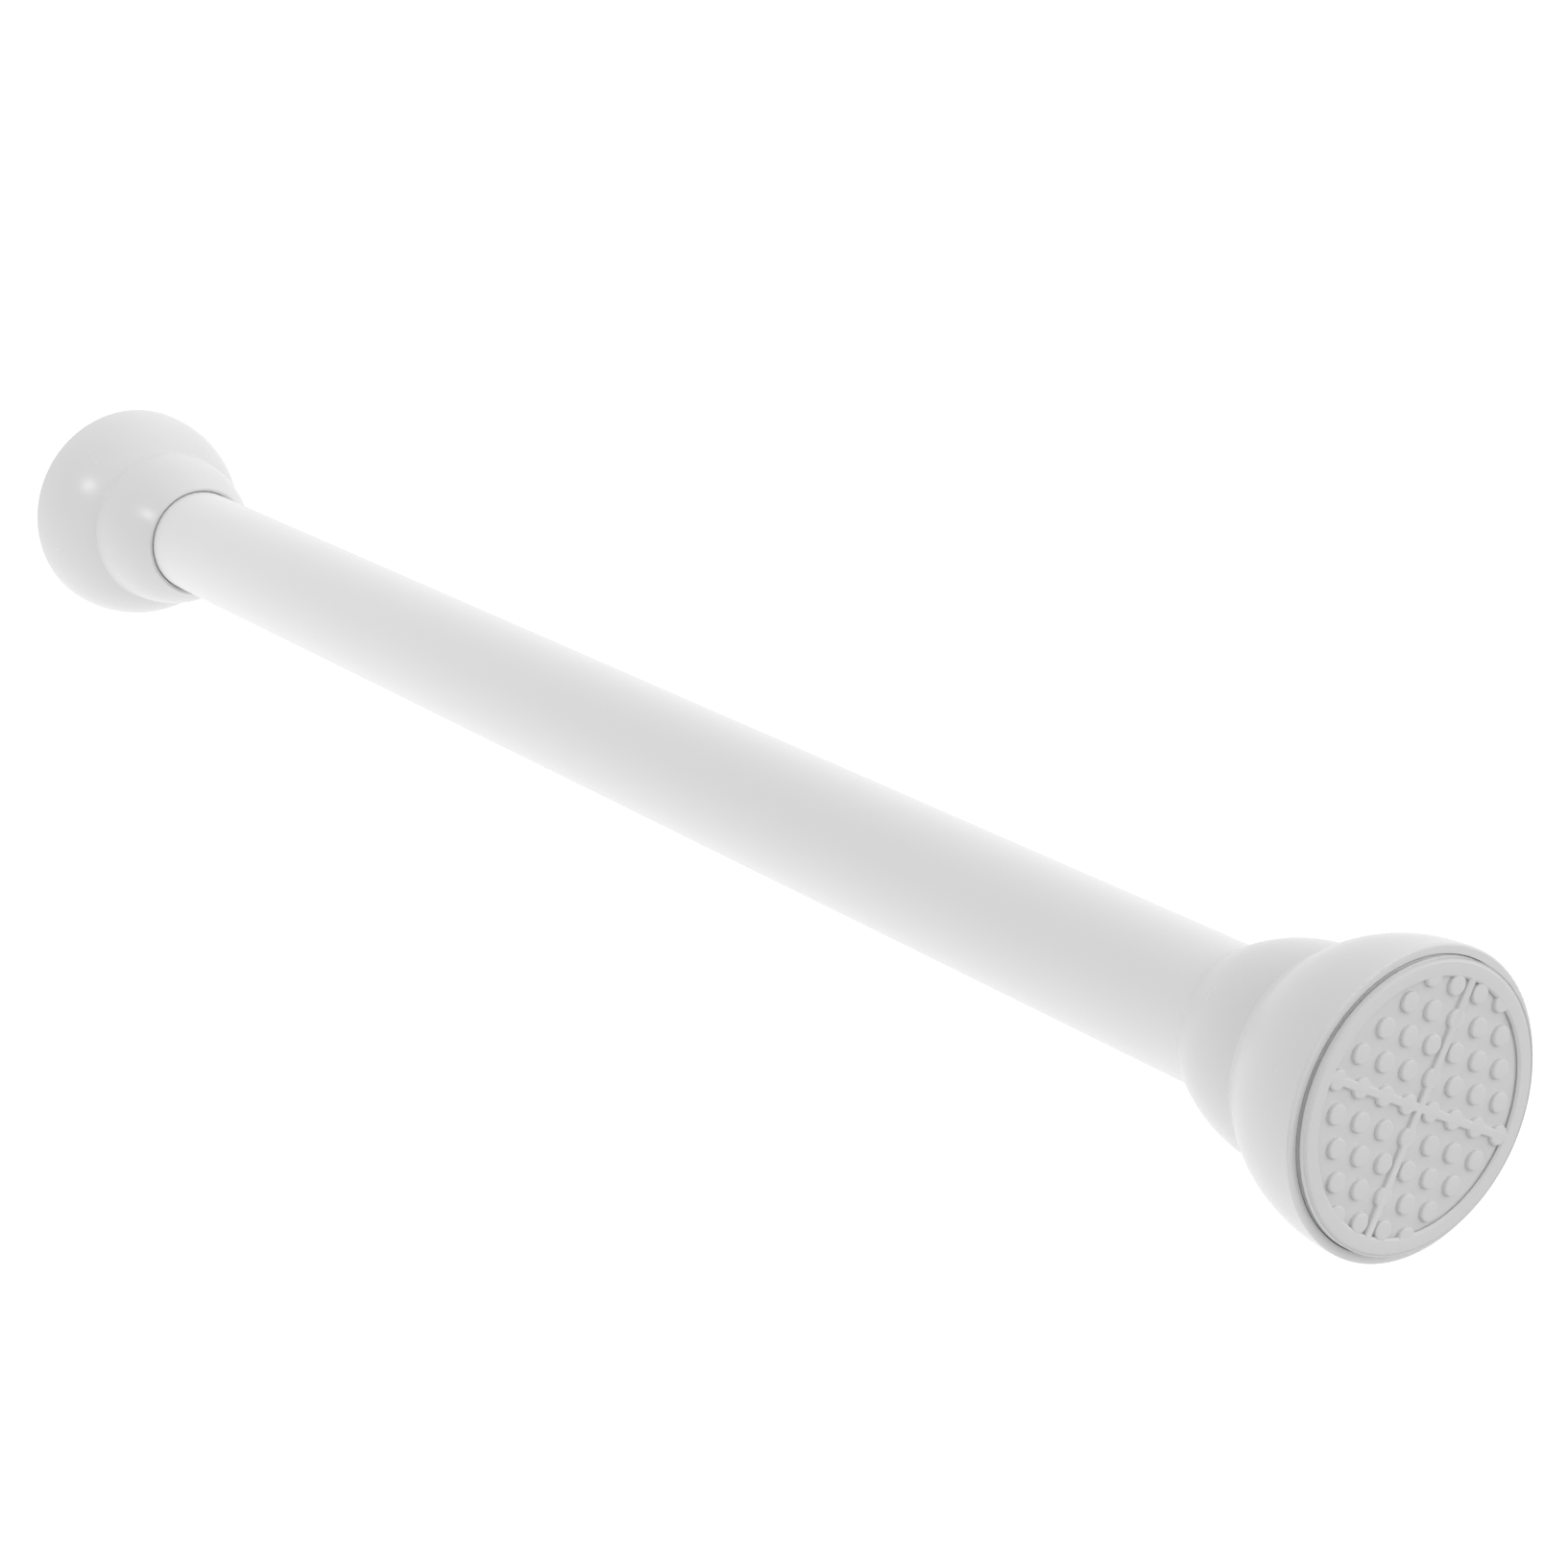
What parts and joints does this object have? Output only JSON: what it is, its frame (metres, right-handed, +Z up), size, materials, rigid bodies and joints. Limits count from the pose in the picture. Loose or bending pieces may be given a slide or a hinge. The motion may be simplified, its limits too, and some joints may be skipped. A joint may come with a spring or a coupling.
{
  "type": "extendable curtain rod",
  "caption": "White telescopic tension rod for curtains: a thin tube slides in a thick one, with a twist lock, an inner pressure spring and bell-shaped end caps with studded anti-slip pads.",
  "frame": {"origin": "centre of the wall face of the pad on the thin tube's end, with the rod closed", "axes": "+X runs along the rod's axis to the thick tube's wall face, and +Z is up"},
  "size_m": [0.41, 0.0458, 0.0458],
  "materials": {
    "outer_tube_paint": "satin white powder coat on thin steel tube",
    "inner_tube_paint": "satin white powder coat on thin steel tube",
    "cap_plastic": "satin white moulded plastic",
    "pad_rubber": "matte white soft rubber",
    "plug_plastic": "natural moulded plastic",
    "lock_plastic": "natural nylon",
    "liner_plastic": "white moulded plastic",
    "steel": "bright zinc-plated steel",
    "spring_steel": "drawn spring steel"
  },
  "bodies": {
    "inner": {"inner_tube": "inner_tube_paint", "inner_end_cap": "cap_plastic", "inner_pad": "pad_rubber", "inner_tube_plug": "plug_plastic", "inner_cap_screw": "steel", "pressure_spring": "spring_steel", "spring_stop": "plug_plastic", "stop_pin": "steel", "guide_bush": "lock_plastic"},
    "plunger": {"plunger_rod": "lock_plastic", "spring_seat": "steel", "retaining_ring": "spring_steel", "thrust_washer": "steel", "end_nut": "steel"},
    "expander": {"expander_sleeve": "lock_plastic"},
    "cone": {"expander_cone": "lock_plastic"},
    "outer": {"outer_tube": "outer_tube_paint", "outer_mouth_bush": "liner_plastic", "outer_end_cap": "cap_plastic", "outer_pad": "pad_rubber", "outer_tube_plug": "plug_plastic", "outer_cap_screw": "steel"}
  },
  "joints": [
    {"name": "spring_stroke", "type": "slide", "parent": "inner", "child": "plunger", "axis": [1, 0, 0], "range_m": [-0.015, 0], "stiffness_N_per_m": 2500, "springref_m": 0.006, "deforming": ["pressure_spring"]},
    {"name": "twist_lock", "type": "hinge", "parent": "plunger", "child": "expander", "pos_m": [0.336, 0, 0], "axis": [-1, 0, 0], "range_deg": [0, 360]},
    {"name": "cone_draw", "type": "slide", "parent": "expander", "child": "cone", "axis": [-1, 0, 0], "range_m": [0, 0.003]},
    {"name": "extension", "type": "slide", "parent": "expander", "child": "outer", "axis": [1, 0, 0], "range_m": [0, 0.25]}
  ],
  "couplings": [
    {"joint": "cone_draw", "follows": "twist_lock", "m_per_rad": 0.00047746}
  ]
}
